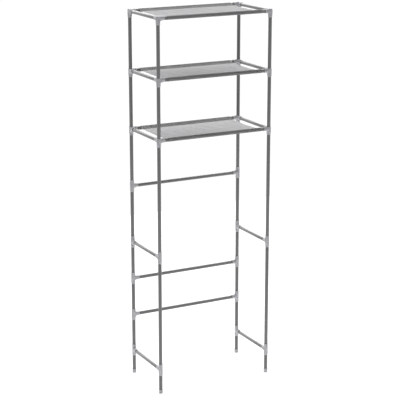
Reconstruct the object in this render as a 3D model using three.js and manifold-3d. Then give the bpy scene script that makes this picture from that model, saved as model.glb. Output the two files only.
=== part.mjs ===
// Over-the-toilet storage rack.
//
// Four steel-tube posts are plugged together with moulded plastic connectors.
// Three fabric shelves hang on tubes at the top, and the open lower half, which
// stands around the toilet, is tied by three back tubes and four side tubes.
//
// Units are millimetres. +Z is up, the open front faces -Y, and the origin is
// on the floor in the middle of the rack.

import * as THREE from 'three';
import { mergeVertices } from 'three/addons/utils/BufferGeometryUtils.js';
import Module from 'manifold-3d';

// ---------------------------------------------------------------- dimensions

const postSpacingX = 545;       // between the axes of the left and right posts
const postSpacingY = 280;       // between the axes of the front and back posts

// Heights of the horizontal tubes' axes, built up from two tube lengths.
const baseHeight = 112;
const shortPitch = 175;
const longPitch = 262;
const lowBackHeight = baseHeight + shortPitch;
const midBackHeight = lowBackHeight + shortPitch;
const middleHeight = midBackHeight + shortPitch;
const highBackHeight = middleHeight + longPitch;
const lowerShelfHeight = highBackHeight + longPitch;
const middleShelfHeight = lowerShelfHeight + longPitch;
const upperShelfHeight = middleShelfHeight + longPitch;

const tubeRadius = 8;
const tubeWall = 0.5;
const clearance = 0.3;          // between any two pieces that touch
const boreRadius = tubeRadius + clearance;
const roundSides = 12;          // facets around every round piece

const socketFloor = 9;          // socket's floor, from the post's axis
const tubeSetback = socketFloor + clearance;
const hubRadius = 10;
const hubTop = 10;              // hub's top above the shelf tubes' axis
const hubRound = 2.5;           // rounding of the hub's top edge
const plugFloor = -6;           // floor of the socket in the hub's top
const armLength = 28;           // socket's mouth, from the post's axis
const armMouthRadius = 9.2;

const teeRadius = 9.5;
const teeMouthRadius = 9.1;
const teeHalfLength = 27;

const footHeight = 17;
const footRadius = 9.3;
const footRound = 1.3;
const footFloor = 3;

const fabricEndGap = 43;        // fabric's end, from the post's axis
const panelThickness = 1;
const hemThickness = 1.2;
const seamDistance = 22;        // hem's seam, from the tube's axis
const hemInnerRadius = boreRadius;
const hemOuterRadius = hemInnerRadius + hemThickness;
const hemArcSteps = 10;

// ----------------------------------------------------------------- materials

const paintedSteel = () => new THREE.MeshStandardMaterial({
  color: 0x8b8d8f,
  roughness: 0.38,
  metalness: 0.6,
});
const greyPlastic = () => new THREE.MeshStandardMaterial({
  color: 0xa9abb0,
  roughness: 0.5,
  metalness: 0,
});
const greyFabric = () => new THREE.MeshStandardMaterial({
  color: 0x8c8d8d,
  roughness: 0.95,
  metalness: 0,
});

// ------------------------------------------------------------ solid handling

const wasm = await Module();
wasm.setup();

// A closed geometry as a solid for joining and cutting. Where a turned profile
// meets its axis, the triangles of no area are dropped.
function solidOf(geometry) {
  const bare = geometry.clone();
  bare.deleteAttribute('normal');
  bare.deleteAttribute('uv');
  const merged = mergeVertices(bare);
  const index = merged.index.array;
  const triangles = [];
  for (let i = 0; i < index.length; i += 3) {
    const [a, b, c] = [index[i], index[i + 1], index[i + 2]];
    if (a !== b && b !== c && c !== a) triangles.push(a, b, c);
  }
  return new wasm.Manifold(new wasm.Mesh({
    numProp: 3,
    vertProperties: new Float32Array(merged.attributes.position.array),
    triVerts: new Uint32Array(triangles),
  }));
}

function geometryOf(solid) {
  const mesh = solid.getMesh();
  const geometry = new THREE.BufferGeometry();
  geometry.setAttribute('position', new THREE.BufferAttribute(mesh.vertProperties, 3));
  geometry.setIndex(new THREE.BufferAttribute(mesh.triVerts, 1));
  geometry.computeVertexNormals();
  return geometry;
}

// A profile of [radius, height] pairs turned about the Z axis.
function turned(profile) {
  const points = profile.map(([radius, height]) => new THREE.Vector2(radius, height));
  return new THREE.LatheGeometry(points, roundSides).rotateX(Math.PI / 2);
}

// A solid round bar along +Z from one height to another.
function bar(radius, from, to, endRadius = radius) {
  return turned([[0, from], [radius, from], [endRadius, to], [0, to]]);
}

const towardsX = (geometry) => geometry.rotateY(Math.PI / 2);
const towardsY = (geometry) => geometry.rotateX(-Math.PI / 2);

// -------------------------------------------------------------------- pieces

// A thin-walled tube of the given length, centred on its own origin, along Z.
function tubeGeometry(length) {
  const half = length / 2;
  const inner = tubeRadius - tubeWall;
  return turned([
    [inner, -half],
    [tubeRadius, -half],
    [tubeRadius, half],
    [inner, half],
    [inner, -half],
  ]);
}

// A shelf corner: a hub with sockets facing down, +X and +Y. Its top is a
// socket for the tube above, or is open right through as a sleeve around the
// post, or is closed as a cap.
function cornerGeometry(top) {
  const hub = turned([
    [0, -armLength],
    [armMouthRadius, -armLength],
    [hubRadius, -hubRadius],
    [hubRadius, hubTop - hubRound],
    [hubRadius - hubRound, hubTop],
    [0, hubTop],
  ]);
  const arm = () => bar(hubRadius, 0, armLength, armMouthRadius);
  const bore = () => bar(boreRadius, socketFloor, armLength + 1);
  let corner = solidOf(hub)
    .add(solidOf(towardsX(arm())))
    .add(solidOf(towardsY(arm())))
    .subtract(solidOf(towardsX(bore())))
    .subtract(solidOf(towardsY(bore())))
    .subtract(solidOf(bar(boreRadius, -armLength - 1, -socketFloor)));
  const upperBoreStart = { socket: plugFloor, sleeve: -socketFloor - 1 };
  if (top in upperBoreStart) {
    corner = corner.subtract(solidOf(bar(boreRadius, upperBoreStart[top], hubTop + 1)));
  }
  return geometryOf(corner);
}

// A tee: a sleeve around the post, with one socket facing +X.
function teeGeometry() {
  const sleeve = turned([
    [0, -teeHalfLength],
    [teeMouthRadius, -teeHalfLength],
    [teeRadius, 0],
    [teeMouthRadius, teeHalfLength],
    [0, teeHalfLength],
  ]);
  const branch = bar(teeRadius, 0, armLength, teeMouthRadius);
  const tee = solidOf(sleeve)
    .add(solidOf(towardsX(branch)))
    .subtract(solidOf(bar(boreRadius, -teeHalfLength - 1, teeHalfLength + 1)))
    .subtract(solidOf(towardsX(bar(boreRadius, socketFloor, armLength + 1))));
  return geometryOf(tee);
}

// A foot: a cap over the post's lower end.
function footGeometry() {
  return turned([
    [0, 0],
    [footRadius - footRound, 0],
    [footRadius, footRound],
    [footRadius, footHeight],
    [boreRadius, footHeight],
    [boreRadius, footFloor],
    [0, footFloor],
  ]);
}

// Half of a hem's section: points around the tube, from the top of the seam,
// over the tube and under it, to the bottom of the seam. The seam lies on the
// +x side, and the cloth runs straight from it to where it meets the tube.
function hemArc(radius) {
  const seam = seamDistance * radius / hemOuterRadius;
  const contact = Math.acos(radius / seam);
  const points = [];
  for (let i = 0; i <= hemArcSteps; i += 1) {
    const angle = contact + 2 * (Math.PI - contact) * i / hemArcSteps;
    points.push(new THREE.Vector2(radius * Math.cos(angle), radius * Math.sin(angle)));
  }
  return { points, seam };
}

// A fabric shelf: a flat panel whose front and back edges are sewn into hems
// around the shelf's long tubes. Its origin is between the two tubes' axes.
function fabricGeometry() {
  const halfDepth = postSpacingY / 2;
  const length = postSpacingX - 2 * fabricEndGap;
  const outer = hemArc(hemOuterRadius);
  const inner = hemArc(hemInnerRadius);

  // The panel's two faces start where the sloping cloth of the hem reaches them.
  const face = panelThickness / 2;
  const contact = outer.points[0];
  const panelStart = outer.seam + (contact.x - outer.seam) * face / contact.y;
  const hem = [
    new THREE.Vector2(panelStart, face),
    ...outer.points,
    new THREE.Vector2(panelStart, -face),
  ];
  const tunnel = [...inner.points, new THREE.Vector2(inner.seam, 0)];

  const front = hem.map((p) => new THREE.Vector2(p.x - halfDepth, p.y));
  const back = front.map((p) => new THREE.Vector2(-p.x, p.y)).reverse();
  const section = new THREE.Shape([...front, ...back]);
  for (const side of [1, -1]) {
    const hole = tunnel.map((p) => new THREE.Vector2(side * (p.x - halfDepth), p.y));
    section.holes.push(new THREE.Path(hole));
  }

  const geometry = new THREE.ExtrudeGeometry(section, { depth: length, bevelEnabled: false });
  geometry.translate(0, 0, -length / 2);
  const toRack = new THREE.Matrix4().makeBasis(
    new THREE.Vector3(0, 1, 0),
    new THREE.Vector3(0, 0, 1),
    new THREE.Vector3(1, 0, 0),
  );
  return geometry.applyMatrix4(toRack);
}

// ------------------------------------------------------------------ assembly

// The posts, each with the sign of its place and the turn about Z that points
// a piece's +X and +Y sockets at the two neighbouring posts.
const posts = [
  { name: 'front_left', x: -1, y: -1, turn: 0 },
  { name: 'front_right', x: 1, y: -1, turn: Math.PI / 2 },
  { name: 'back_right', x: 1, y: 1, turn: Math.PI },
  { name: 'back_left', x: -1, y: 1, turn: -Math.PI / 2 },
];
const shelves = [
  { name: 'lower_shelf', height: lowerShelfHeight, corner: cornerGeometry('socket') },
  { name: 'middle_shelf', height: middleShelfHeight, corner: cornerGeometry('sleeve') },
  { name: 'upper_shelf', height: upperShelfHeight, corner: cornerGeometry('cap') },
];
const sideLevels = [
  { name: 'base', height: baseHeight },
  { name: 'middle', height: middleHeight },
];
const backLevels = [
  { name: 'low', height: lowBackHeight },
  { name: 'mid', height: midBackHeight },
  { name: 'high', height: highBackHeight },
];

const halfX = postSpacingX / 2;
const halfY = postSpacingY / 2;
const tubeLengthX = postSpacingX - 2 * tubeSetback;
const tubeLengthY = postSpacingY - 2 * tubeSetback;

const rack = new THREE.Group();

function place(parent, name, geometry, material, position, turn = 0) {
  const mesh = new THREE.Mesh(geometry, material);
  mesh.name = name;
  mesh.position.set(...position);
  mesh.rotation.z = turn;
  parent.add(mesh);
}

const longTube = towardsX(tubeGeometry(tubeLengthX));
const sideTube = towardsY(tubeGeometry(tubeLengthY));
const tee = teeGeometry();
const foot = footGeometry();
const fabric = fabricGeometry();

// Posts: a lower tube from the foot to the lower shelf, and an upper tube from
// the lower shelf's corners up through the middle shelf to the upper shelf.
// The tees are sleeves on the lower tube, and the middle shelf's corners are
// sleeves on the upper tube.
const lowerPostStart = footFloor + clearance;
const lowerPostEnd = lowerShelfHeight - tubeSetback;
const upperPostStart = lowerShelfHeight + plugFloor + clearance;
const upperPostEnd = upperShelfHeight - tubeSetback;
const postTubes = [
  { name: 'lower_post', from: lowerPostStart, to: lowerPostEnd },
  { name: 'upper_post', from: upperPostStart, to: upperPostEnd },
];
for (const { name, from, to } of postTubes) {
  const geometry = tubeGeometry(to - from);
  for (const post of posts) {
    const position = [post.x * halfX, post.y * halfY, (from + to) / 2];
    place(rack, `${name}_${post.name}`, geometry, paintedSteel(), position);
  }
}

for (const post of posts) {
  const position = [post.x * halfX, post.y * halfY, 0];
  place(rack, `foot_${post.name}`, foot, greyPlastic(), position);
}

// Shelves: four corners, two long tubes, two side tubes and the fabric.
for (const shelf of shelves) {
  const level = new THREE.Group();
  level.position.z = shelf.height;
  for (const post of posts) {
    const name = `${shelf.name}_corner_${post.name}`;
    const position = [post.x * halfX, post.y * halfY, 0];
    place(level, name, shelf.corner, greyPlastic(), position, post.turn);
  }
  place(level, `${shelf.name}_front_tube`, longTube, paintedSteel(), [0, -halfY, 0]);
  place(level, `${shelf.name}_back_tube`, longTube, paintedSteel(), [0, halfY, 0]);
  place(level, `${shelf.name}_left_tube`, sideTube, paintedSteel(), [-halfX, 0, 0]);
  place(level, `${shelf.name}_right_tube`, sideTube, paintedSteel(), [halfX, 0, 0]);
  place(level, `${shelf.name}_fabric`, fabric, greyFabric(), [0, 0, 0]);
  rack.add(level);
}

// Side tubes at the base and in the middle, each between two tees.
for (const { name, height } of sideLevels) {
  for (const post of posts) {
    const position = [post.x * halfX, post.y * halfY, height];
    const turn = -post.y * Math.PI / 2;
    place(rack, `${name}_tee_${post.name}`, tee, greyPlastic(), position, turn);
  }
  place(rack, `${name}_tube_left`, sideTube, paintedSteel(), [-halfX, 0, height]);
  place(rack, `${name}_tube_right`, sideTube, paintedSteel(), [halfX, 0, height]);
}

// Back tubes, each between two tees on the back posts.
for (const { name, height } of backLevels) {
  place(rack, `${name}_back_tee_left`, tee, greyPlastic(), [-halfX, halfY, height]);
  place(rack, `${name}_back_tee_right`, tee, greyPlastic(), [halfX, halfY, height], Math.PI);
  place(rack, `${name}_back_tube`, longTube, paintedSteel(), [0, halfY, height]);
}

export default rack;
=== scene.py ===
"""Over-the-toilet storage rack: the finished pieces and the studio around them.

Lacquered steel tubes are plugged together with moulded plastic connectors, and
three cloth shelves are sewn around the tubes at the top. Every piece is built
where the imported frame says, in metres, with +Z up and the open front at -Y.
"""

import math

import bmesh
import bpy
from bpy.props import FloatProperty, FloatVectorProperty, IntProperty, PointerProperty
from mathutils import Euler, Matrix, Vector


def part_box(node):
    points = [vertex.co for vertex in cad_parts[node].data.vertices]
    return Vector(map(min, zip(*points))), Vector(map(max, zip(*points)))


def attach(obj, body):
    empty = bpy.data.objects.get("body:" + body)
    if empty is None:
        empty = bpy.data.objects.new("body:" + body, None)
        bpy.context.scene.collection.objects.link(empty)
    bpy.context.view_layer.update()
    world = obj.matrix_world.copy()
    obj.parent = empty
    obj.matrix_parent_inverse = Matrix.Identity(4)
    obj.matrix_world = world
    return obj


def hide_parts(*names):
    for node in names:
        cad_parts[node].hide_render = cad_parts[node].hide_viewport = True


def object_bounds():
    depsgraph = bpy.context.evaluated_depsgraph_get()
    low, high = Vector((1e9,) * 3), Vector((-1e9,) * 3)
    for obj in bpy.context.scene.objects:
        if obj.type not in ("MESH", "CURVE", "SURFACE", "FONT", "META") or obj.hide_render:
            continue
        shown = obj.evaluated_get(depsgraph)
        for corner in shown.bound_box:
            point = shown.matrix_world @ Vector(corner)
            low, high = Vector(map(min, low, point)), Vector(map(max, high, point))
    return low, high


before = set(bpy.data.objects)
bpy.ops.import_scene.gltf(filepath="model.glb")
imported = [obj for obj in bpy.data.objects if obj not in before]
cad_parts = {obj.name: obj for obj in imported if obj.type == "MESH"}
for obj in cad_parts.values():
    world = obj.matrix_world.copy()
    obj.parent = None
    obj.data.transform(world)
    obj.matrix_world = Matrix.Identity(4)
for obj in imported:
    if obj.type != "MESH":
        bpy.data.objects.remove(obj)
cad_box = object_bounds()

bl_info = {
    "name": "Over-the-toilet storage rack",
    "version": (1, 0, 0),
    "blender": (4, 5, 0),
    "location": "3D View > Sidebar > Storage rack",
    "description": "Builds a tube rack with moulded connectors and cloth shelves",
    "category": "Object",
}

MM = 0.001

# The posts, each with the turn about Z that points a connector's two sockets
# at the neighbouring posts.
POSTS = {
    "front_left": 0.0,
    "front_right": math.radians(90),
    "back_right": math.radians(180),
    "back_left": math.radians(-90),
}
SHELVES = ("lower_shelf", "middle_shelf", "upper_shelf")
SIDE_LEVELS = ("base", "middle")
BACK_LEVELS = ("low", "mid", "high")


# ------------------------------------------------------------ frame's places


def centre(node):
    """The middle of a CAD node's box."""
    low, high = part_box(node)
    return (low + high) / 2


def extent(node):
    """The three sides of a CAD node's box."""
    low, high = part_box(node)
    return high - low


def post_axis(post):
    """Where a post stands on the floor."""
    place = centre(f"lower_post_{post}")
    return Vector((place.x, place.y, 0))


def shelf_height(shelf):
    """The height of the axes of a shelf's four tubes."""
    return centre(f"{shelf}_left_tube").z


TUBE_DIAMETER = extent("upper_post_front_left").x
ARM_LENGTH = shelf_height("lower_shelf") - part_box("lower_shelf_corner_front_left")[0].z
TEE_HALF = extent("base_tee_front_left").z / 2
FOOT_HEIGHT = extent("foot_front_left").z
FOOT_DIAMETER = extent("foot_front_left").x
CLOTH_LENGTH = extent("lower_shelf_fabric").x


# ------------------------------------------------------------ colour and nodes


def linear(hex_colour):
    """A colour written as sRGB hex, as linear red, green and blue."""
    parts = [int(hex_colour[i : i + 2], 16) / 255 for i in (1, 3, 5)]
    return [p / 12.92 if p <= 0.04045 else ((p + 0.055) / 1.055) ** 2.4 for p in parts]


def rgba(colour, brightness=1.0):
    """A colour as four numbers for a socket, made lighter or darker."""
    return (*(part * brightness for part in colour), 1.0)


def add_node(tree, kind, settings=None, links=None):
    """Adds a node. Settings are its own properties or its sockets' values, by
    name, and links are the outputs that feed its sockets."""
    node = tree.nodes.new(kind)
    for name, value in (settings or {}).items():
        if name in node.inputs:
            node.inputs[name].default_value = value
        else:
            setattr(node, name, value)
    for name, output in (links or {}).items():
        tree.links.new(output, node.inputs[name])
    return node


def new_material(name):
    """An empty material with its output node and object coordinates."""
    material = bpy.data.materials.new(name)
    material.use_nodes = True
    tree = material.node_tree
    tree.nodes.clear()
    output = add_node(tree, "ShaderNodeOutputMaterial")
    place = add_node(tree, "ShaderNodeTexCoord").outputs["Object"]
    return material, tree, output, place


def per_metre(size_mm):
    """A texture's scale for features of a size in millimetres."""
    return 1000.0 / size_mm


def lacquered_steel(settings):
    """Steel tube under silver-grey spray lacquer. The aluminium flakes in the
    lacquer give it a soft metallic gloss with a fine grain, and the spray
    leaves a faint orange peel."""
    material, tree, output, place = new_material("silver_grey_lacquered_steel")
    # Flakes are about 0.05 mm: they are drawn at 1.5 mm, so that they show.
    flakes = add_node(tree, "ShaderNodeTexNoise", {
        "Scale": per_metre(1.5), "Detail": 2.0, "Roughness": 0.6,
    }, {"Vector": place})
    colour = add_node(tree, "ShaderNodeMix", {
        "data_type": "RGBA",
        "A": rgba(settings.colour, 0.86),
        "B": rgba(settings.colour, 1.14),
    }, {"Factor": flakes.outputs["Fac"]})
    # Drifts in the lacquer's thickness, a few centimetres long.
    drift = add_node(tree, "ShaderNodeTexNoise", {
        "Scale": per_metre(35), "Detail": 1.0,
    }, {"Vector": place})
    roughness = add_node(tree, "ShaderNodeMapRange", {
        "To Min": settings.roughness - 0.05, "To Max": settings.roughness + 0.05,
    }, {"Value": drift.outputs["Fac"]})
    peel = add_node(tree, "ShaderNodeTexNoise", {
        "Scale": per_metre(2.5), "Detail": 1.0,
    }, {"Vector": place})
    bump = add_node(tree, "ShaderNodeBump", {
        "Strength": 0.25, "Distance": 0.03 * MM,
    }, {"Height": peel.outputs["Fac"]})
    shader = add_node(tree, "ShaderNodeBsdfPrincipled", {
        "Metallic": 0.1, "Specular IOR Level": 0.5,
        "Coat Weight": 0.7, "Coat Roughness": 0.2,
    }, {
        "Base Color": colour.outputs["Result"],
        "Roughness": roughness.outputs["Result"],
        "Normal": bump.outputs["Normal"],
    })
    tree.links.new(shader.outputs["BSDF"], output.inputs["Surface"])
    return material


def moulded_polypropylene(settings):
    """Injection-moulded polypropylene in light grey. The mould's spark-eroded
    walls give it a fine satin grain, and the plastic's flow clouds its tint."""
    material, tree, output, place = new_material("light_grey_moulded_polypropylene")
    flow = add_node(tree, "ShaderNodeTexNoise", {
        "Scale": per_metre(14), "Detail": 3.0,
    }, {"Vector": place})
    colour = add_node(tree, "ShaderNodeMix", {
        "data_type": "RGBA",
        "A": rgba(settings.colour, 0.95),
        "B": rgba(settings.colour, 1.05),
    }, {"Factor": flow.outputs["Fac"]})
    # The grain is about 0.1 mm: it is drawn at 0.7 mm, so that it shows.
    grain = add_node(tree, "ShaderNodeTexNoise", {
        "Scale": per_metre(0.7), "Detail": 2.0,
    }, {"Vector": place})
    bump = add_node(tree, "ShaderNodeBump", {
        "Strength": 0.3, "Distance": 0.04 * MM,
    }, {"Height": grain.outputs["Fac"]})
    roughness = add_node(tree, "ShaderNodeMapRange", {
        "To Min": settings.roughness - 0.06, "To Max": settings.roughness + 0.06,
    }, {"Value": grain.outputs["Fac"]})
    shader = add_node(tree, "ShaderNodeBsdfPrincipled", {
        "IOR": 1.49, "Specular IOR Level": 0.25, "Subsurface Weight": 0.8,
        "Subsurface Radius": (1.0, 1.0, 1.0), "Subsurface Scale": 4 * MM,
    }, {
        "Base Color": colour.outputs["Result"],
        "Roughness": roughness.outputs["Result"],
        "Normal": bump.outputs["Normal"],
    })
    tree.links.new(shader.outputs["BSDF"], output.inputs["Surface"])
    return material


def spunbond_cloth(settings):
    """Spun-bonded polypropylene cloth in mid grey. Loose fibres cloud it, and
    rows of pressed bond points give it its even, slightly pitted face, with
    painted shade darkening each pit."""
    material, tree, output, place = new_material("grey_spunbond_polypropylene")
    cloud = add_node(tree, "ShaderNodeTexNoise", {
        "Scale": per_metre(9), "Detail": 4.0, "Roughness": 0.65,
    }, {"Vector": place})
    colour = add_node(tree, "ShaderNodeMix", {
        "data_type": "RGBA",
        "A": rgba(settings.colour, 0.9),
        "B": rgba(settings.colour, 1.1),
    }, {"Factor": cloud.outputs["Fac"]})
    # Bond points lie about 1.5 mm apart: they are drawn at twice that.
    points = add_node(tree, "ShaderNodeTexVoronoi", {
        "feature": "F1", "Scale": per_metre(settings.bond_pitch / MM),
        "Randomness": 0.15,
    }, {"Vector": place})
    pit = add_node(tree, "ShaderNodeMapRange", {
        "From Min": 0.12, "From Max": 0.38, "interpolation_type": "SMOOTHSTEP",
    }, {"Value": points.outputs["Distance"]})
    # Each bond point is darkened towards its middle: painted shade in its pit, on top of
    # the bump that sinks it.
    pit_shaded_colour = add_node(tree, "ShaderNodeMix", {
        "data_type": "RGBA", "blend_type": "MULTIPLY", "Factor": 1.0,
    }, {"A": colour.outputs["Result"]})
    shade = add_node(tree, "ShaderNodeMapRange", {
        "To Min": 0.9, "To Max": 1.0,
    }, {"Value": pit.outputs["Result"]})
    tree.links.new(shade.outputs["Result"], pit_shaded_colour.inputs["B"])
    fibres = add_node(tree, "ShaderNodeTexNoise", {
        "Scale": per_metre(0.8), "Detail": 3.0,
    }, {"Vector": place})
    relief = add_node(tree, "ShaderNodeMath", {"operation": "ADD"})
    tree.links.new(pit.outputs["Result"], relief.inputs[0])
    tree.links.new(fibres.outputs["Fac"], relief.inputs[1])
    bump = add_node(tree, "ShaderNodeBump", {
        "Strength": 0.35, "Distance": 0.08 * MM,
    }, {"Height": relief.outputs["Value"]})
    shader = add_node(tree, "ShaderNodeBsdfPrincipled", {
        "Roughness": 0.9, "Diffuse Roughness": 1.0, "IOR": 1.49,
        "Specular IOR Level": 0.05,
        "Subsurface Weight": 0.9, "Subsurface Radius": (1.0, 1.0, 1.0),
        "Subsurface Scale": 8 * MM,
    }, {
        "Base Color": pit_shaded_colour.outputs["Result"],
        "Normal": bump.outputs["Normal"],
    })
    tree.links.new(shader.outputs["BSDF"], output.inputs["Surface"])
    return material


def polyester_thread(settings):
    """Twisted polyester sewing thread, darker than the cloth, with a dull sheen
    and diagonal bands of painted shade and highlight along its plies."""
    material, tree, output, place = new_material("grey_polyester_thread")
    # Diagonal bands of painted shade and painted highlight stand for the twist of the
    # plies.
    ply_shade_bands = add_node(tree, "ShaderNodeTexWave", {
        "Scale": per_metre(1.2), "Distortion": 1.0, "bands_direction": "DIAGONAL",
    }, {"Vector": place})
    colour = add_node(tree, "ShaderNodeMix", {
        "data_type": "RGBA",
        "A": rgba(settings.colour, 0.7),
        "B": rgba(settings.colour, 0.95),
    }, {"Factor": ply_shade_bands.outputs["Fac"]})
    shader = add_node(tree, "ShaderNodeBsdfPrincipled", {
        "Roughness": 0.6, "IOR": 1.57, "Sheen Weight": 0.2,
    }, {"Base Color": colour.outputs["Result"]})
    tree.links.new(shader.outputs["BSDF"], output.inputs["Surface"])
    return material


def studio_floor(settings):
    """The matt white acrylic of a light table, lit a little from below, so that
    the feet cast hardly any shadow."""
    material, tree, output, place = new_material("lit_white_acrylic")
    clouds = add_node(tree, "ShaderNodeTexNoise", {
        "Scale": per_metre(400), "Detail": 2.0,
    }, {"Vector": place})
    colour = add_node(tree, "ShaderNodeMix", {
        "data_type": "RGBA",
        "A": rgba(settings.floor_colour, 0.99),
        "B": rgba(settings.floor_colour, 1.01),
    }, {"Factor": clouds.outputs["Fac"]})
    shader = add_node(tree, "ShaderNodeBsdfPrincipled", {
        "Roughness": 0.9, "Specular IOR Level": 0.2,
        "Emission Color": rgba(linear("#FFFFFF")),
        "Emission Strength": settings.floor_glow,
    }, {"Base Color": colour.outputs["Result"]})
    tree.links.new(shader.outputs["BSDF"], output.inputs["Surface"])
    return material


def shared_material(maker, settings):
    """The material that a maker makes, made once."""
    key = maker.__name__
    if key not in shared_material.made:
        shared_material.made[key] = maker(settings)
    return shared_material.made[key]


shared_material.made = {}


# ------------------------------------------------------------------ mesh tools


def finish_mesh(build, name, subdivisions=0):
    """Turns a bmesh into a smooth mesh with its faces pointing out, subdivided
    where it is a cage."""
    mesh = bpy.data.meshes.new(name)
    bmesh.ops.recalc_face_normals(build, faces=build.faces)
    build.to_mesh(mesh)
    build.free()
    if subdivisions:
        cage = bpy.data.objects.new(f"{name}_cage", mesh)
        bpy.context.scene.collection.objects.link(cage)
        modifier = cage.modifiers.new("subdivide", "SUBSURF")
        modifier.levels = subdivisions
        modifier.render_levels = subdivisions
        depsgraph = bpy.context.evaluated_depsgraph_get()
        smooth = bpy.data.meshes.new_from_object(cage.evaluated_get(depsgraph))
        bpy.data.objects.remove(cage)
        bpy.data.meshes.remove(mesh)
        mesh = smooth
        mesh.name = name
    mesh.shade_smooth()
    return mesh


def add_piece(name, mesh, material, place=(0, 0, 0), turn=(0, 0, 0)):
    """Puts a piece in the scene, riding on the rack's one body."""
    piece = bpy.data.objects.new(name, mesh)
    bpy.context.scene.collection.objects.link(piece)
    piece.location = place
    piece.rotation_euler = Euler(turn)
    mesh.materials.clear()
    mesh.materials.append(material)
    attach(piece, "root")
    return piece


def on_circle(radius, angle, height):
    """A point on a circle about Z."""
    return (radius * math.cos(angle), radius * math.sin(angle), height)


def join_loops(build, first, second):
    """Faces between two loops of as many vertices."""
    count = len(first)
    for i in range(count):
        j = (i + 1) % count
        build.faces.new((first[i], first[j], second[j], second[i]))


def turned_mesh(name, profile, sides):
    """A profile of (radius, height) points turned about Z. It closes on itself,
    or starts and ends on the axis."""
    build = bmesh.new()
    rings = []
    for radius, height in profile:
        if radius == 0:
            rings.append([build.verts.new((0, 0, height))])
            continue
        turns = [2 * math.pi * i / sides for i in range(sides)]
        rings.append([build.verts.new(on_circle(radius, a, height)) for a in turns])
    closed = len(rings[0]) > 1
    pairs = list(zip(rings, rings[1:])) + ([(rings[-1], rings[0])] if closed else [])
    for first, second in pairs:
        if len(first) == 1 or len(second) == 1:
            tip, ring = (first[0], second) if len(first) == 1 else (second[0], first)
            for i in range(sides):
                build.faces.new((tip, ring[i], ring[(i + 1) % sides]))
        else:
            join_loops(build, first, second)
    return finish_mesh(build, name)


def rounded(corner, before, after, radius, steps=4):
    """Points of a corner of a profile, rounded off between its neighbours."""
    corner, before, after = Vector(corner), Vector(before), Vector(after)
    start = corner + (before - corner).normalized() * radius
    end = corner + (after - corner).normalized() * radius
    points = []
    for i in range(steps + 1):
        t = i / steps
        point = start * (1 - t) ** 2 + corner * 2 * t * (1 - t) + end * t**2
        points.append((point.x, point.y))
    return points


# ----------------------------------------------------------------------- tubes

CUT_ROLL = 0.6               # rounding of a tube's cut end, as a share of its wall


def tube_mesh(name, length, settings):
    """A thin-walled tube along Z from its origin, its cut ends rolled a little
    inwards."""
    outer = settings.diameter / 2
    inner = outer - settings.wall
    roll = settings.wall * CUT_ROLL
    profile = []
    for corner, before, after in (
        ((outer, 0), (inner, 0), (outer, length)),
        ((outer, length), (outer, 0), (inner, length)),
    ):
        profile += rounded(corner, before, after, roll, 2)
    profile += [(inner, length), (inner, 0)]
    return turned_mesh(name, profile, settings.sides)


def add_tube(name, start, end, node, settings):
    """A tube from one point to another, in place of a CAD node."""
    way = Vector(end) - Vector(start)
    turn = way.to_track_quat("Z", "X").to_euler()
    mesh = tube_mesh(name, way.length, settings)
    steel = shared_material(lacquered_steel, settings)
    piece = add_piece(name, mesh, steel, start, turn)
    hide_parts(node)
    return piece


def post_stops(post, connectors):
    """The stretches of bare post between its connectors' stops, from the foot
    up, each with the CAD node that it belongs to."""
    levels = [("foot", connectors.foot_floor)]
    heights = [centre(f"{level}_tee_{post}").z for level in SIDE_LEVELS]
    if post.startswith("back"):
        side = post.split("_")[1]
        heights += [centre(f"{level}_back_tee_{side}").z for level in BACK_LEVELS]
    levels += [("tee", z) for z in sorted(heights)]
    levels += [("corner", shelf_height(shelf)) for shelf in SHELVES]
    stretches = []
    for (kind, low), (next_kind, high) in zip(levels, levels[1:]):
        start = low + connectors.stop_above(kind)
        end = high - connectors.stop_below(next_kind)
        node = "lower_post" if high <= shelf_height("lower_shelf") else "upper_post"
        stretches.append((start, end, f"{node}_{post}"))
    return stretches


# ------------------------------------------------------------------ connectors

COLUMNS = 16                 # columns of a sleeve's or hub's cage
ARM_SIDES = 14               # columns of a corner's side arms
FOOT_SIDES = 64              # facets around a foot
RIM = 0.6 * MM               # rounding of a moulded rim
PUSH_GAP = 0.3 * MM          # between a tube's end and the stop in its socket

# Where a sleeve starts to narrow towards its mouth, as a share of its length.
TEE_TAPER = 0.66
CORNER_TAPER = 0.62
ARM_TAPER = 0.55

# Rings of a corner's top, as shares of the hub's radius and of its height.
SHOULDER_OVER_ARM = (0.95, 0.97)
SHOULDER_BETWEEN = (1.0, 0.78)
CAP_RINGS = ((0.86, 1.0), (0.45, 1.03))
OPEN_RIM = 0.92

SOCKET_FLOOR = 0.6           # inner ring of a socket's floor, as a share of the bore


def swell(sides):
    """How much a cage of that many sides is widened, so that it subdivides to
    its true radius."""
    return 3 / (2 + math.cos(2 * math.pi / sides))


def sleeve_ring(build, radius, height):
    """A ring of a sleeve's cage."""
    wide = radius * swell(COLUMNS)
    step = 2 * math.pi / COLUMNS
    return [build.verts.new(on_circle(wide, i * step, height)) for i in range(COLUMNS)]


def close_end(build, ring, along, bore, mouth, floor):
    """A socket in an end: over the rim, down the bore and across its floor.
    along(radius, distance) makes a ring of the cage."""
    inward = 1 if floor > mouth else -1
    steps = [
        (bore + RIM / 2, mouth),
        (bore, mouth + inward * RIM),
        (bore, floor - inward * RIM),
        (bore, floor),
        (bore * SOCKET_FLOOR, floor),
    ]
    for radius, distance in steps:
        following = along(radius, distance)
        join_loops(build, ring, following)
        ring = following
    build.faces.new(ring)


def add_sleeve(build, loop, along, radii, taper, length, bore, floor):
    """A sleeve from the loop that it springs from to its rim, with its socket.
    along(radius, distance) makes a ring of the cage."""
    root, mouth = radii
    for radius, distance in (
        (root, taper * length),
        (mouth, length - 2 * RIM),
        (mouth, length - RIM / 2),
        (mouth - RIM / 2, length),
    ):
        following = along(radius, distance)
        join_loops(build, loop, following)
        loop = following
    close_end(build, loop, along, bore, length, floor)


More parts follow.
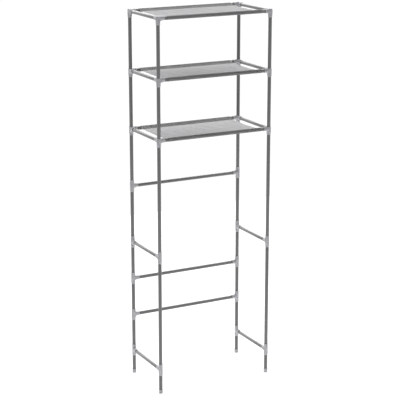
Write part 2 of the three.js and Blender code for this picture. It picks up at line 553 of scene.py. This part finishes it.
def side_arm(build, loop, point, angles, radii, floor, bore):
    """An arm of a connector, from the loop that it springs from to its mouth,
    with the socket in it. point(x, y, z) turns the arm's own directions into
    the connector's."""
    wide = swell(len(angles))

    def along(radius, distance):
        ring = []
        for a in angles:
            y, z = radius * wide * math.cos(a), radius * wide * math.sin(a)
            ring.append(build.verts.new(point(distance, y, z)))
        return ring

    add_sleeve(build, loop, along, radii, ARM_TAPER, ARM_LENGTH, bore, floor)


def tee_mesh(settings):
    """A tee: a sleeve along Z with a socket in each end, and a side socket
    along +X that flows into the sleeve with a fillet."""
    s = settings
    build = bmesh.new()
    step = 2 * math.pi / COLUMNS
    wide = swell(COLUMNS)
    body = s.tee_body / 2
    reach = 3                # columns of the sleeve to each side of the branch

    def counted(k):
        """A column's number, counted either way from the branch."""
        return k if k <= COLUMNS // 2 else k - COLUMNS

    def springing(angle):
        """The branch's radius where it springs from the sleeve."""
        return s.tee_branch / 2 + s.fillet * math.sin(angle) ** 2

    def edge_row(side):
        """The row of the sleeve that bounds the branch above or below it."""
        row = []
        for k in range(COLUMNS):
            place = counted(k)
            if abs(place) <= reach:
                angle = math.pi / 2 - place * step
                radius = springing(angle)
                across = radius * math.cos(angle)
                out = math.sqrt(max(body**2 - across**2, 0))
                point = (out * wide, across * wide, side * radius * math.sin(angle))
            else:
                height = side * springing(step) * math.sin(step)
                point = on_circle(body * wide, k * step, height)
            row.append(build.verts.new(point))
        return row

    mid_row = {}
    for k in range(COLUMNS):
        place = counted(k)
        if abs(place) == reach:
            across = math.copysign(springing(0), place)
            out = math.sqrt(body**2 - across**2)
            mid_row[k] = build.verts.new((out * wide, across * wide, 0))
        elif abs(place) > reach:
            mid_row[k] = build.verts.new(on_circle(body * wide, k * step, 0))

    lower, upper = edge_row(-1), edge_row(1)
    for row in (lower, upper):
        for k in mid_row:
            j = (k + 1) % COLUMNS
            if j in mid_row and not (k == COLUMNS - reach or j == reach):
                build.faces.new((row[k], row[j], mid_row[j], mid_row[k]))

    for side, row in ((-1, lower), (1, upper)):

        def along(radius, distance, side=side):
            return sleeve_ring(build, radius, side * distance)

        radii = (body, s.tee_mouth / 2)
        add_sleeve(
            build, row, along, radii, TEE_TAPER, TEE_HALF, s.bore / 2, s.stop / 2)

    turns = list(range(-reach, reach + 1))
    loop = [mid_row[reach]]
    loop += [upper[k % COLUMNS] for k in reversed(turns)]
    loop += [mid_row[COLUMNS - reach]]
    loop += [lower[k % COLUMNS] for k in turns]
    angles = [i * step for i in range(COLUMNS)]
    radii = (s.tee_branch / 2, s.tee_branch_mouth / 2)
    side_arm(
        build, loop, lambda x, y, z: (x, y, z), angles, radii, s.side_stop, s.bore / 2)
    return finish_mesh(build, "tee", s.subdivisions)


def corner_mesh(name, settings, capped):
    """A shelf corner: a hub with sockets facing down, +X and +Y, and either a
    socket or a closed, rounded cap on top."""
    s = settings
    build = bmesh.new()
    step = 2 * math.pi / COLUMNS
    wide = swell(COLUMNS)
    arm_step = 2 * math.pi / ARM_SIDES
    hub = s.hub / 2
    root = s.arm_root / 2
    # The +X arm springs from columns -3 to 2 and the +Y arm from 2 to 7.
    first, shared, last = -3, 2, 7

    def springing(k, rise):
        """A column's point on the edge of its arm, above or below the arm."""
        place = k if k <= last else k - COLUMNS
        mirrored = place > shared
        if mirrored:
            place = 2 * shared - place
        angle = (shared + 1 - place) * arm_step
        radius = root + rise * math.sin(angle) ** 2
        across = radius * math.cos(angle)
        out = across if place == shared else math.sqrt(max(hub**2 - across**2, 0))
        if mirrored:
            out, across = across, out
        return out * wide, across * wide, radius * math.sin(angle)

    def over_arm(k):
        """Whether a column of the hub runs over one of the arms."""
        return k <= last or k >= first % COLUMNS

    def edge_row(side, rise):
        """The row of the hub that bounds the arms above or below them."""
        row = []
        side_height = springing(first % COLUMNS, rise)[2]
        for k in range(COLUMNS):
            if over_arm(k):
                x, y, z = springing(k, rise)
                point = (x, y, side * z)
            else:
                point = on_circle(hub * wide, k * step, side * side_height)
            row.append(build.verts.new(point))
        return row

    lower, upper = edge_row(-1, s.fillet), edge_row(1, 0)
    mid_row = {}
    for k in range(last, first % COLUMNS + 1):
        mid_row[k] = build.verts.new(on_circle(hub * wide, k * step, 0))
    side = root * swell(ARM_SIDES)
    beside = math.sqrt(max((hub * wide) ** 2 - side**2, 0))
    mid_row[first % COLUMNS].co = (beside, -side, 0)
    mid_row[last].co = (-side, beside, 0)
    mid_row[shared] = build.verts.new((side, side, 0))
    for row in (lower, upper):
        for k in range(last, first % COLUMNS):
            build.faces.new((row[k], row[k + 1], mid_row[k + 1], mid_row[k]))

    def downwards(radius, distance):
        return sleeve_ring(build, radius, -distance)

    def upwards(radius, distance):
        return sleeve_ring(build, radius, distance)

    radii = (root, s.mouth / 2)
    add_sleeve(
        build, lower, downwards, radii, CORNER_TAPER, ARM_LENGTH, s.bore / 2, s.side_stop)

    # Over the shoulder to the top.
    top = s.hub_top
    shoulder = []
    for k in range(COLUMNS):
        out, rise = SHOULDER_OVER_ARM if over_arm(k) else SHOULDER_BETWEEN
        point = on_circle(hub * out * wide, k * step, top * rise)
        shoulder.append(build.verts.new(point))
    join_loops(build, upper, shoulder)
    if capped:
        row = shoulder
        for out, rise in CAP_RINGS:
            ring = upwards(hub * out, top * rise)
            join_loops(build, row, ring)
            row = ring
        build.faces.new(row)
    else:
        rim = upwards(hub * OPEN_RIM, top)
        join_loops(build, shoulder, rim)
        close_end(build, rim, upwards, s.bore / 2, top, -s.top_stop)

    columns_x = [shared, 1, 0, -1, -2, first]
    angles = [i * arm_step for i in range(ARM_SIDES)]
    loop_x = [mid_row[shared]]
    loop_x += [upper[k % COLUMNS] for k in columns_x]
    loop_x += [mid_row[first % COLUMNS]]
    loop_x += [lower[k % COLUMNS] for k in reversed(columns_x)]
    columns_y = list(range(shared, last + 1))
    loop_y = [mid_row[shared]]
    loop_y += [upper[k] for k in columns_y]
    loop_y += [mid_row[last]]
    loop_y += [lower[k] for k in reversed(columns_y)]
    for loop, point in (
        (loop_x, lambda x, y, z: (x, y, z)),
        (loop_y, lambda x, y, z: (y, x, z)),
    ):
        side_arm(build, loop, point, angles, radii, s.side_stop, s.bore / 2)
    return finish_mesh(build, name, s.subdivisions)


def foot_mesh(settings):
    """A foot: a cap with a rounded foot edge, a thin rim at its mouth, a
    gripping groove and a shallow recess beneath."""
    s = settings
    radius, bore, height = FOOT_DIAMETER / 2, s.bore / 2, FOOT_HEIGHT
    recess, depth = radius * 0.55, 0.5 * MM
    edge, groove = 1.6 * MM, 4.5 * MM
    profile = [(0, depth), (recess - depth, depth), (recess, 0)]
    profile += rounded((radius, 0), (recess, 0), (radius, height), edge, 5)
    # The groove's height and depth, in millimetres.
    for rise, cut in ((-0.5, 0), (-0.25, 0.25), (0.25, 0.25), (0.5, 0)):
        profile.append((radius - cut * MM, groove + rise * MM))
    profile += rounded((radius, height), (radius, 0), (bore, height), RIM, 3)
    profile += rounded((bore, height), (radius, height), (bore, 0), RIM / 3, 2)
    profile += [(bore, s.foot_floor), (0, s.foot_floor)]
    return turned_mesh("foot", profile, FOOT_SIDES)


# ----------------------------------------------------------------------- cloth

HEM_SLACK = 0.1 * MM         # between the cloth and the tube inside its hem
HEM_BOW = 0.6 * MM           # how far a hem bows down on its way to the seam
UNDER_LAYER = 1.1            # the layer below the panel, in thicknesses down
UNDERLAP_STEPS = 4           # points of the section beyond a seam
RISE_STEPS = 7               # points between a seam and its tube
HEM_TURNS = 24               # points around a tube
PANEL_STEPS = 56             # points from seam to seam
CLOTH_COLUMNS = 132          # columns of the cloth along X

FOLDS = 5                    # waves that make up the slack of a panel
FOLD_LENGTH = 0.062          # length of the shortest wave, in metres
FOLD_STEP = 0.021            # how much longer each next one is, in metres

STITCH_INSET = 1.2 * MM      # from a seam's line into the panel
STITCH_MARGIN = 3 * MM       # from a seam's end to the cloth's edge
STITCH_SHOWN = 0.8           # length of a stitch, as a share of the pitch
STITCH_FLAT = 0.6            # how flat the tension pulls a stitch
STITCH_SIDES = 6
# Rings of a stitch: place along it, width and rise, as shares of its size.
STITCH_RINGS = (
    (-0.5, 0.2, -0.4), (-0.42, 0.8, 0.3), (0.0, 1.0, 0.9), (0.42, 0.8, 0.3),
    (0.5, 0.2, -0.4),
)


def hem_profile(settings, tube_radius):
    """Half of a cloth shelf's section, as distances from the tube's axis
    towards the panel, and heights: from the raw edge under the panel, around
    the tube and up to the seam."""
    s = settings
    radius = tube_radius + s.thickness / 2 + HEM_SLACK
    under = -s.thickness * UNDER_LAYER
    contact = math.acos(radius / s.seam)
    points = []
    for i in range(UNDERLAP_STEPS):
        points.append((s.seam + s.underlap * (1 - i / UNDERLAP_STEPS), under))
    low = (radius * math.cos(contact), -radius * math.sin(contact))
    for i in range(RISE_STEPS):
        t = i / RISE_STEPS
        points.append((s.seam + (low[0] - s.seam) * t, under + (low[1] - under) * t))
    for i in range(HEM_TURNS + 1):
        angle = 2 * math.pi - contact - 2 * (math.pi - contact) * i / HEM_TURNS
        points.append((radius * math.cos(angle), radius * math.sin(angle)))
    high = points[-1]
    for i in range(1, RISE_STEPS + 1):
        t = i / RISE_STEPS
        bowed = high[1] * (1 - t) - HEM_BOW * math.sin(math.pi * t)
        points.append((high[0] + (s.seam - high[0]) * t, bowed))
    return points


def cloth_section(settings, half_depth, tube_radius):
    """The whole section of a cloth shelf from front to back, as (y, z)."""
    hem = hem_profile(settings, tube_radius)
    front = [(d - half_depth, z) for d, z in hem]
    back = [(half_depth - d, z) for d, z in reversed(hem)]
    start, end = front[-1][0], back[0][0]
    steps = range(1, PANEL_STEPS)
    panel = [(start + (end - start) * i / PANEL_STEPS, 0.0) for i in steps]
    return front + panel + back


def ripple(x, y, settings, seed):
    """The height of the cloth's slack: soft folds that run askew between the
    tubes, strongest in the middle."""
    total = 0.0
    for i in range(FOLDS):
        tilt = 0.35 + 0.12 * math.sin(seed * 1.7 + i * 2.3)
        along = x + tilt * y
        wave = 2 * math.pi * along / (FOLD_LENGTH + FOLD_STEP * i)
        total += math.sin(wave + seed * 2.1 + i * 1.3) / (1 + 0.6 * i)
    drift = 0.6 + 0.4 * math.sin(9 * x + seed)
    return settings.ripple * total * drift


def cloth_mesh(name, settings, half_depth, tube_radius, seed):
    """A cloth shelf: one sheet with its section swept along X, sagging a little
    between the seams, its free ends drawn in by the pull of the tubes."""
    s = settings
    section = cloth_section(s, half_depth, tube_radius)
    inner = half_depth - s.seam
    half = CLOTH_LENGTH / 2
    build = bmesh.new()
    rows = []
    for i in range(CLOTH_COLUMNS + 1):
        x = -half + 2 * half * i / CLOTH_COLUMNS
        row = []
        for y, z in section:
            # Only the panel sags: hems and the layer below it keep their height.
            in_panel = abs(z) < s.thickness / 2
            share = max(0.0, 1 - (y / inner) ** 2) if in_panel else 0.0
            free = share**0.5 * share
            lift = -s.sag * share + ripple(x, y, s, seed) * free
            drawn = x * (1 - s.draw_in / half * share**0.6 * abs(x / half) ** 2)
            row.append(build.verts.new((drawn, y, z + lift)))
        rows.append(row)
    for first, second in zip(rows, rows[1:]):
        for j in range(len(section) - 1):
            build.faces.new((first[j], first[j + 1], second[j + 1], second[j]))
    bmesh.ops.recalc_face_normals(build, faces=build.faces)
    bmesh.ops.solidify(build, geom=build.faces[:], thickness=s.thickness)
    mesh = finish_mesh(build, name)
    spans = zip(section, section[1:])
    flat_depth = sum((Vector(b) - Vector(a)).length for a, b in spans)
    return mesh, (2 * half, flat_depth)


def stitch_mesh(name, settings, half_depth):
    """The stitches along both seams of a cloth shelf: short rounded stitches of
    thread, each sunk a little into the cloth at its ends."""
    s = settings
    build = bmesh.new()
    inner = half_depth - s.seam - STITCH_INSET
    half = CLOTH_LENGTH / 2 - STITCH_MARGIN
    radius = s.thread / 2
    turns = [2 * math.pi * j / STITCH_SIDES for j in range(STITCH_SIDES)]
    for side in (-1, 1):
        for i in range(int(2 * half / s.stitch_pitch)):
            x = -half + (i + 0.5) * s.stitch_pitch
            rings = []
            for along, wide, rise in STITCH_RINGS:
                ring = []
                for angle in turns:
                    height = radius * (rise + wide * math.sin(angle)) * STITCH_FLAT
                    ring.append(build.verts.new((
                        x + along * s.stitch_pitch * STITCH_SHOWN,
                        side * inner + radius * wide * math.cos(angle),
                        s.thickness / 2 + height,
                    )))
                rings.append(ring)
            for first, second in zip(rings, rings[1:]):
                join_loops(build, first, second)
            build.faces.new(rings[0])
            build.faces.new(rings[-1])
    return finish_mesh(build, name)


# -------------------------------------------------------------------- settings


class ConnectorSettings(bpy.types.PropertyGroup):
    """Sizes and colour of the moulded pieces."""

    hub: FloatProperty(
        name="Hub", description="Diameter of a corner's hub",
        default=20 * MM, unit="LENGTH")
    arm_root: FloatProperty(
        name="Arm root", description="Diameter of an arm by the hub",
        default=19.4 * MM, unit="LENGTH")
    mouth: FloatProperty(
        name="Mouth", description="Diameter of an arm's mouth",
        default=18.4 * MM, unit="LENGTH")
    hub_top: FloatProperty(
        name="Hub top", description="Hub's top above the tubes' axis",
        default=9.7 * MM, unit="LENGTH")
    tee_body: FloatProperty(
        name="Tee body", description="Diameter of a tee's middle",
        default=19 * MM, unit="LENGTH")
    tee_mouth: FloatProperty(
        name="Tee mouth", description="Diameter of a tee's ends",
        default=18.3 * MM, unit="LENGTH")
    tee_branch: FloatProperty(
        name="Tee branch", description="Diameter of a tee's branch",
        default=18.8 * MM, unit="LENGTH")
    tee_branch_mouth: FloatProperty(
        name="Branch mouth", description="Diameter of a branch's mouth",
        default=18.2 * MM, unit="LENGTH")
    fillet: FloatProperty(
        name="Fillet", description="Fillet between arms",
        default=2.6 * MM, unit="LENGTH")
    bore: FloatProperty(
        name="Bore", description="Diameter of a socket",
        default=16.3 * MM, unit="LENGTH")
    stop: FloatProperty(
        name="Stop", description="Thickness of a tee's inner stop",
        default=2 * MM, unit="LENGTH")
    side_stop: FloatProperty(
        name="Side stop", description="Socket floor from the post's axis",
        default=9.3 * MM, unit="LENGTH")
    top_stop: FloatProperty(
        name="Top stop", description="Top socket's floor below the tubes' axis",
        default=5.7 * MM, unit="LENGTH")
    foot_floor: FloatProperty(
        name="Foot floor", description="Thickness of a foot's floor",
        default=3 * MM, unit="LENGTH")
    roughness: FloatProperty(
        name="Roughness", description="Roughness of the plastic",
        default=0.46, subtype="FACTOR")
    colour: FloatVectorProperty(
        name="Colour", description="Colour of the plastic",
        default=linear("#C2C2C6"), subtype="COLOR")
    subdivisions: IntProperty(
        name="Subdivisions", description="Subdivisions of the cages",
        default=2)

    def stop_above(self, kind):
        """How far above a connector's level the tube over it starts."""
        return PUSH_GAP + {
            "foot": 0.0, "tee": self.stop / 2, "corner": -self.top_stop,
        }[kind]

    def stop_below(self, kind):
        """How far below a connector's level the tube under it ends."""
        return PUSH_GAP + {"tee": self.stop / 2, "corner": self.side_stop}[kind]


class TubeSettings(bpy.types.PropertyGroup):
    """Sizes and finish of the steel tubes."""

    diameter: FloatProperty(
        name="Diameter", description="Outer diameter",
        default=TUBE_DIAMETER, unit="LENGTH")
    wall: FloatProperty(
        name="Wall", description="Wall thickness",
        default=0.5 * MM, unit="LENGTH")
    sides: IntProperty(
        name="Sides", description="Facets around a tube",
        default=56)
    roughness: FloatProperty(
        name="Roughness", description="Roughness of the lacquer",
        default=0.42, subtype="FACTOR")
    colour: FloatVectorProperty(
        name="Colour", description="Colour of the lacquer",
        default=linear("#636364"), subtype="COLOR")


class ClothSettings(bpy.types.PropertyGroup):
    """Sizes and colour of the cloth shelves."""

    thickness: FloatProperty(
        name="Thickness", description="Thickness of the cloth",
        default=0.7 * MM, unit="LENGTH")
    seam: FloatProperty(
        name="Seam", description="Seam from the tube's axis",
        default=22 * MM, unit="LENGTH")
    underlap: FloatProperty(
        name="Underlap", description="Cloth left beyond the seam",
        default=9 * MM, unit="LENGTH")
    sag: FloatProperty(
        name="Sag", description="Sag in the middle",
        default=2.5 * MM, unit="LENGTH")
    draw_in: FloatProperty(
        name="Draw-in", description="How far the free ends are drawn in",
        default=1.5 * MM, unit="LENGTH")
    ripple: FloatProperty(
        name="Ripple", description="Height of the slack folds",
        default=0.55 * MM, unit="LENGTH")
    bond_pitch: FloatProperty(
        name="Bond pitch", description="Distance between bond points",
        default=3 * MM, unit="LENGTH")
    stitch_pitch: FloatProperty(
        name="Stitch pitch", description="Distance between stitches",
        default=3.5 * MM, unit="LENGTH")
    thread: FloatProperty(
        name="Thread", description="Diameter of the thread",
        default=0.6 * MM, unit="LENGTH")
    colour: FloatVectorProperty(
        name="Colour", description="Colour of the cloth",
        default=linear("#939394"), subtype="COLOR")


class StageSettings(bpy.types.PropertyGroup):
    """The studio: floor, light and camera."""

    floor_size: FloatProperty(
        name="Floor size", description="Side of the floor",
        default=5.2, unit="LENGTH")
    floor_colour: FloatVectorProperty(
        name="Floor colour", description="Colour of the floor",
        default=linear("#E0E0E0"), subtype="COLOR")
    softbox: FloatProperty(
        name="Softboxes", description="Strength of each softbox",
        default=1.8)
    softbox_width: FloatProperty(
        name="Softbox width", description="How wide a softbox looks from the rack",
        default=math.radians(70), subtype="ANGLE")
    softbox_turn: FloatProperty(
        name="Softbox turn",
        description="Turn of each softbox from straight ahead of the camera",
        default=math.radians(25), subtype="ANGLE")
    softbox_rise: FloatProperty(
        name="Softbox rise", description="Height of the softboxes above the horizon",
        default=math.radians(42), subtype="ANGLE")
    ambient: FloatProperty(
        name="Ambient", description="Strength of the light all round",
        default=0.4)
    wall: FloatProperty(
        name="Wall", description="Brightness of the walls to the eye and in reflections",
        default=1.04)
    floor_glow: FloatProperty(
        name="Floor glow", description="Strength of the light that the floor gives off",
        default=0.45)
    azimuth: FloatProperty(
        name="Azimuth", description="Camera's turn from the front, to the rack's left",
        default=math.radians(27.7), subtype="ANGLE")
    elevation: FloatProperty(
        name="Elevation", description="Camera's height above the horizon",
        default=math.radians(15.1), subtype="ANGLE")
    distance: FloatProperty(
        name="Distance", description="Camera to the rack's middle",
        default=6.216, unit="LENGTH")
    aim: FloatProperty(
        name="Aim", description="Height aimed at, as a share of the rack's",
        default=0.4905, subtype="FACTOR")
    lens: FloatProperty(
        name="Lens", description="Focal length in millimetres",
        default=123.8)


# ------------------------------------------------------------------- operators


class RackOperator:
    """What the rack's operators share."""

    bl_options = {"REGISTER", "UNDO"}

    def execute(self, context):
        self.build(context.scene)
        return {"FINISHED"}


class RACK_OT_post_tubes(RackOperator, bpy.types.Operator):
    """Builds the tubes of the four posts, each between two connectors"""

    bl_idname = "rack.post_tubes"
    bl_label = "Post tubes"

    def build(self, scene):
        settings = scene.rack_tubes
        for post in POSTS:
            foot = post_axis(post)
            stops = post_stops(post, scene.rack_connectors)
            for number, (start, end, node) in enumerate(stops, 1):
                low, high = foot + Vector((0, 0, start)), foot + Vector((0, 0, end))
                add_tube(f"post_tube_{post}_{number}", low, high, node, settings)


class RACK_OT_cross_tubes(RackOperator, bpy.types.Operator):
    """Builds the shelves' tubes, the side tubes and the back tubes"""

    bl_idname = "rack.cross_tubes"
    bl_label = "Cross tubes"

    def build(self, scene):
        sides = ("front", "back", "left", "right")
        nodes = [f"{shelf}_{side}_tube" for shelf in SHELVES for side in sides]
        nodes += [f"{level}_tube_{side}" for level in SIDE_LEVELS for side in sides[2:]]
        nodes += [f"{level}_back_tube" for level in BACK_LEVELS]
        for node in nodes:
            middle, size = centre(node), extent(node)
            axis = Vector((1, 0, 0)) if size.x > size.y else Vector((0, 1, 0))
            reach = axis * max(size.x, size.y) / 2
            start, end = middle - reach, middle + reach
            add_tube(f"steel_{node}", start, end, node, scene.rack_tubes)


class RACK_OT_corners(RackOperator, bpy.types.Operator):
    """Builds the corner connectors of the shelves"""

    bl_idname = "rack.corners"
    bl_label = "Shelf corners"

    def build(self, scene):
        settings = scene.rack_connectors
        plastic = shared_material(moulded_polypropylene, settings)
        open_mesh = corner_mesh("open_corner", settings, False)
        capped_mesh = corner_mesh("capped_corner", settings, True)
        for shelf in SHELVES:
            source = capped_mesh if shelf == SHELVES[-1] else open_mesh
            for post, turn in POSTS.items():
                place = post_axis(post) + Vector((0, 0, shelf_height(shelf)))
                node = f"{shelf}_corner_{post}"
                piece = add_piece(
                    f"moulded_{node}", source.copy(), plastic, place, (0, 0, turn))
                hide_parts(node)


class RACK_OT_tees(RackOperator, bpy.types.Operator):
    """Builds the tee connectors on the posts"""

    bl_idname = "rack.tees"
    bl_label = "Tees"

    def build(self, scene):
        settings = scene.rack_connectors
        plastic = shared_material(moulded_polypropylene, settings)
        source = tee_mesh(settings)
        turns = {}
        for level in SIDE_LEVELS:
            for post in POSTS:
                quarter = 90 if post.startswith("front") else -90
                turns[f"{level}_tee_{post}"] = (post, quarter)
        for level in BACK_LEVELS:
            turns[f"{level}_back_tee_left"] = ("back_left", 0)
            turns[f"{level}_back_tee_right"] = ("back_right", 180)
        for node, (post, turn) in turns.items():
            place = post_axis(post) + Vector((0, 0, centre(node).z))
            piece = add_piece(
                f"moulded_{node}", source.copy(), plastic, place,
                (0, 0, math.radians(turn)))
            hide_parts(node)


class RACK_OT_feet(RackOperator, bpy.types.Operator):
    """Builds the caps on the posts' feet"""

    bl_idname = "rack.feet"
    bl_label = "Feet"

    def build(self, scene):
        settings = scene.rack_connectors
        plastic = shared_material(moulded_polypropylene, settings)
        source = foot_mesh(settings)
        for post in POSTS:
            piece = add_piece(
                f"moulded_foot_{post}", source.copy(), plastic, post_axis(post))
            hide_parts(f"foot_{post}")


class RACK_OT_cloth_shelves(RackOperator, bpy.types.Operator):
    """Builds the cloth shelves with their hems and stitches"""

    bl_idname = "rack.cloth_shelves"
    bl_label = "Cloth shelves"

    def build(self, scene):
        settings = scene.rack_cloth
        cloth = shared_material(spunbond_cloth, settings)
        thread = shared_material(polyester_thread, settings)
        half_depth = post_axis("back_left").y
        tube_radius = scene.rack_tubes.diameter / 2
        for seed, shelf in enumerate(SHELVES):
            place = (0, 0, shelf_height(shelf))
            mesh, flat = cloth_mesh(
                f"cloth_{shelf}", settings, half_depth, tube_radius, seed)
            piece = add_piece(
                f"cloth_{shelf}", mesh, cloth, place)
            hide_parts(f"{shelf}_fabric")
            seams = stitch_mesh(f"stitches_{shelf}", settings, half_depth)
            stitches = add_piece(
                f"stitches_{shelf}", seams, thread, place)


class RACK_OT_stage(RackOperator, bpy.types.Operator):
    """Sets up the floor, the studio light and the camera"""

    bl_idname = "rack.stage"
    bl_label = "Studio"

    def build(self, scene):
        settings = scene.rack_stage
        self.add_floor(scene, settings)
        self.add_light(scene, settings)
        self.add_camera(scene, settings)

    def add_floor(self, scene, settings):
        build = bmesh.new()
        half = settings.floor_size / 2
        bmesh.ops.create_grid(build, x_segments=8, y_segments=8, size=half)
        mesh = bpy.data.meshes.new("studio_floor")
        build.to_mesh(mesh)
        build.free()
        mesh.materials.append(studio_floor(settings))
        floor = bpy.data.objects.new("studio_floor", mesh)
        floor.location.z = cad_box[0].z
        scene.collection.objects.link(floor)

    def add_light(self, scene, settings):
        for side, turn in (("left", 1), ("right", -1)):
            light = bpy.data.lights.new(f"softbox_{side}", "SUN")
            light.energy = settings.softbox
            light.angle = settings.softbox_width
            lamp = bpy.data.objects.new(f"softbox_{side}", light)
            lean = math.pi / 2 - settings.softbox_rise
            around = turn * settings.softbox_turn - settings.azimuth
            lamp.rotation_euler = (-lean, 0, around)
            scene.collection.objects.link(lamp)
        world = bpy.data.worlds.new("studio")
        world.use_nodes = True
        tree = world.node_tree
        tree.nodes.clear()
        # The studio's walls are white to look at and in reflections, and give
        # only a little light.
        path = add_node(tree, "ShaderNodeLightPath")
        seen = add_node(tree, "ShaderNodeMath", {"operation": "MAXIMUM"})
        tree.links.new(path.outputs["Is Camera Ray"], seen.inputs[0])
        tree.links.new(path.outputs["Is Glossy Ray"], seen.inputs[1])
        around = add_node(tree, "ShaderNodeBackground", {
            "Color": rgba(linear("#FFFFFF")), "Strength": settings.ambient,
        })
        wall = add_node(tree, "ShaderNodeBackground", {
            "Color": rgba(linear("#FFFFFF")), "Strength": settings.wall,
        })
        either = add_node(tree, "ShaderNodeMixShader", None, {"Fac": seen.outputs["Value"]})
        tree.links.new(around.outputs["Background"], either.inputs[1])
        tree.links.new(wall.outputs["Background"], either.inputs[2])
        output = add_node(tree, "ShaderNodeOutputWorld")
        tree.links.new(either.outputs["Shader"], output.inputs["Surface"])
        scene.world = world
        scene.view_settings.view_transform = "Standard"

    def add_camera(self, scene, settings):
        lens = bpy.data.cameras.new("camera")
        lens.lens = settings.lens
        camera = bpy.data.objects.new("camera", lens)
        low, high = cad_box
        aim = Vector((0, 0, low.z + settings.aim * (high.z - low.z)))
        turn, rise = settings.azimuth, settings.elevation
        back = Vector((
            -math.sin(turn) * math.cos(rise),
            -math.cos(turn) * math.cos(rise),
            math.sin(rise),
        ))
        camera.location = aim + back * settings.distance
        camera.rotation_euler = (-back).to_track_quat("-Z", "Y").to_euler()
        scene.collection.objects.link(camera)
        scene.camera = camera


class RACK_PT_panel(bpy.types.Panel):
    """Lists the rack's operators in the sidebar"""

    bl_idname = "RACK_PT_panel"
    bl_label = "Storage rack"
    bl_space_type = "VIEW_3D"
    bl_region_type = "UI"
    bl_category = "Storage rack"

    def draw(self, context):
        for operator in OPERATORS:
            self.layout.operator(operator.bl_idname)


OPERATORS = (
    RACK_OT_stage,
    RACK_OT_post_tubes,
    RACK_OT_cross_tubes,
    RACK_OT_corners,
    RACK_OT_tees,
    RACK_OT_feet,
    RACK_OT_cloth_shelves,
)
SETTINGS = {
    "rack_connectors": ConnectorSettings,
    "rack_tubes": TubeSettings,
    "rack_cloth": ClothSettings,
    "rack_stage": StageSettings,
}


def register():
    for name, group in SETTINGS.items():
        bpy.utils.register_class(group)
        setattr(bpy.types.Scene, name, PointerProperty(type=group))
    for item in (*OPERATORS, RACK_PT_panel):
        bpy.utils.register_class(item)


def unregister():
    for item in reversed((*OPERATORS, RACK_PT_panel)):
        bpy.utils.unregister_class(item)
    for name, group in reversed(list(SETTINGS.items())):
        delattr(bpy.types.Scene, name)
        bpy.utils.unregister_class(group)


def main():
    """Registers the add-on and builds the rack."""
    register()
    bpy.ops.rack.stage()
    bpy.ops.rack.post_tubes()
    bpy.ops.rack.cross_tubes()
    bpy.ops.rack.corners()
    bpy.ops.rack.tees()
    bpy.ops.rack.feet()
    bpy.ops.rack.cloth_shelves()


if __name__ == "__main__":
    main()
